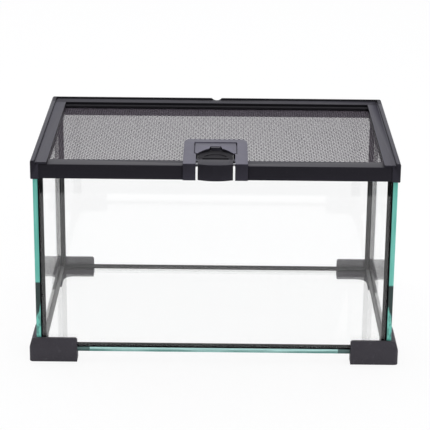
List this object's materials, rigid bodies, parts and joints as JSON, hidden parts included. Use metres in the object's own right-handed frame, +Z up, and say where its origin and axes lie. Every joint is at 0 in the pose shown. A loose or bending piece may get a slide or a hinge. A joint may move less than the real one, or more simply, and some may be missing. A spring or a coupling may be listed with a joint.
{
  "type": "terrarium",
  "caption": "Small low glass terrarium with corner feet, a moulded top frame and a sliding wire-screen lid with a rocking thumb latch.",
  "frame": {"origin": "on the ground under the middle of the tank", "axes": "+X to the right seen from the front, +Y to the rear, +Z up; the lid slides out towards -Y"},
  "size_m": [0.3096, 0.2078, 0.1763],
  "materials": {
    "glass": "clear float glass with seamed, greenish edges",
    "silicone": "smooth black silicone",
    "black_plastic": "black moulded plastic, satin",
    "grained_plastic": "dark grey moulded plastic with a fine leather grain",
    "wire": "dark grey coated wire",
    "steel": "plain steel"
  },
  "bodies": {
    "tank": {"floor_pane": "glass", "front_pane": "glass", "rear_pane": "glass", "left_pane": "glass", "right_pane": "glass", "corner_seam_front_left": "silicone", "corner_seam_front_right": "silicone", "corner_seam_rear_left": "silicone", "corner_seam_rear_right": "silicone", "floor_seam_front": "silicone", "floor_seam_rear": "silicone", "floor_seam_left": "silicone", "floor_seam_right": "silicone", "foot_front_left": "grained_plastic", "foot_front_right": "grained_plastic", "foot_rear_left": "grained_plastic", "foot_rear_right": "grained_plastic", "top_frame": "black_plastic", "latch_strike": "black_plastic"},
    "lid": {"lid_frame": "black_plastic", "lid_screen": "wire", "screen_retainer": "black_plastic", "latch_housing": "black_plastic", "latch_cover_plate": "black_plastic", "latch_pin": "steel", "latch_spring": "steel", "latch_screw_left": "steel", "latch_screw_right": "steel"},
    "lever": {"latch_lever": "black_plastic"}
  },
  "joints": [
    {"name": "lid_slide", "type": "slide", "parent": "tank", "child": "lid", "axis": [0, -1, 0], "range_m": [0, 0.19]},
    {"name": "latch_lever_rock", "type": "hinge", "parent": "lid", "child": "lever", "pos_m": [0, -0.0904, 0.1711], "axis": [-1, 0, 0], "range_deg": [0, 2.5], "stiffness_Nm_per_rad": 0.3, "springref_deg": -5.73, "deforming": ["latch_spring"]}
  ]
}
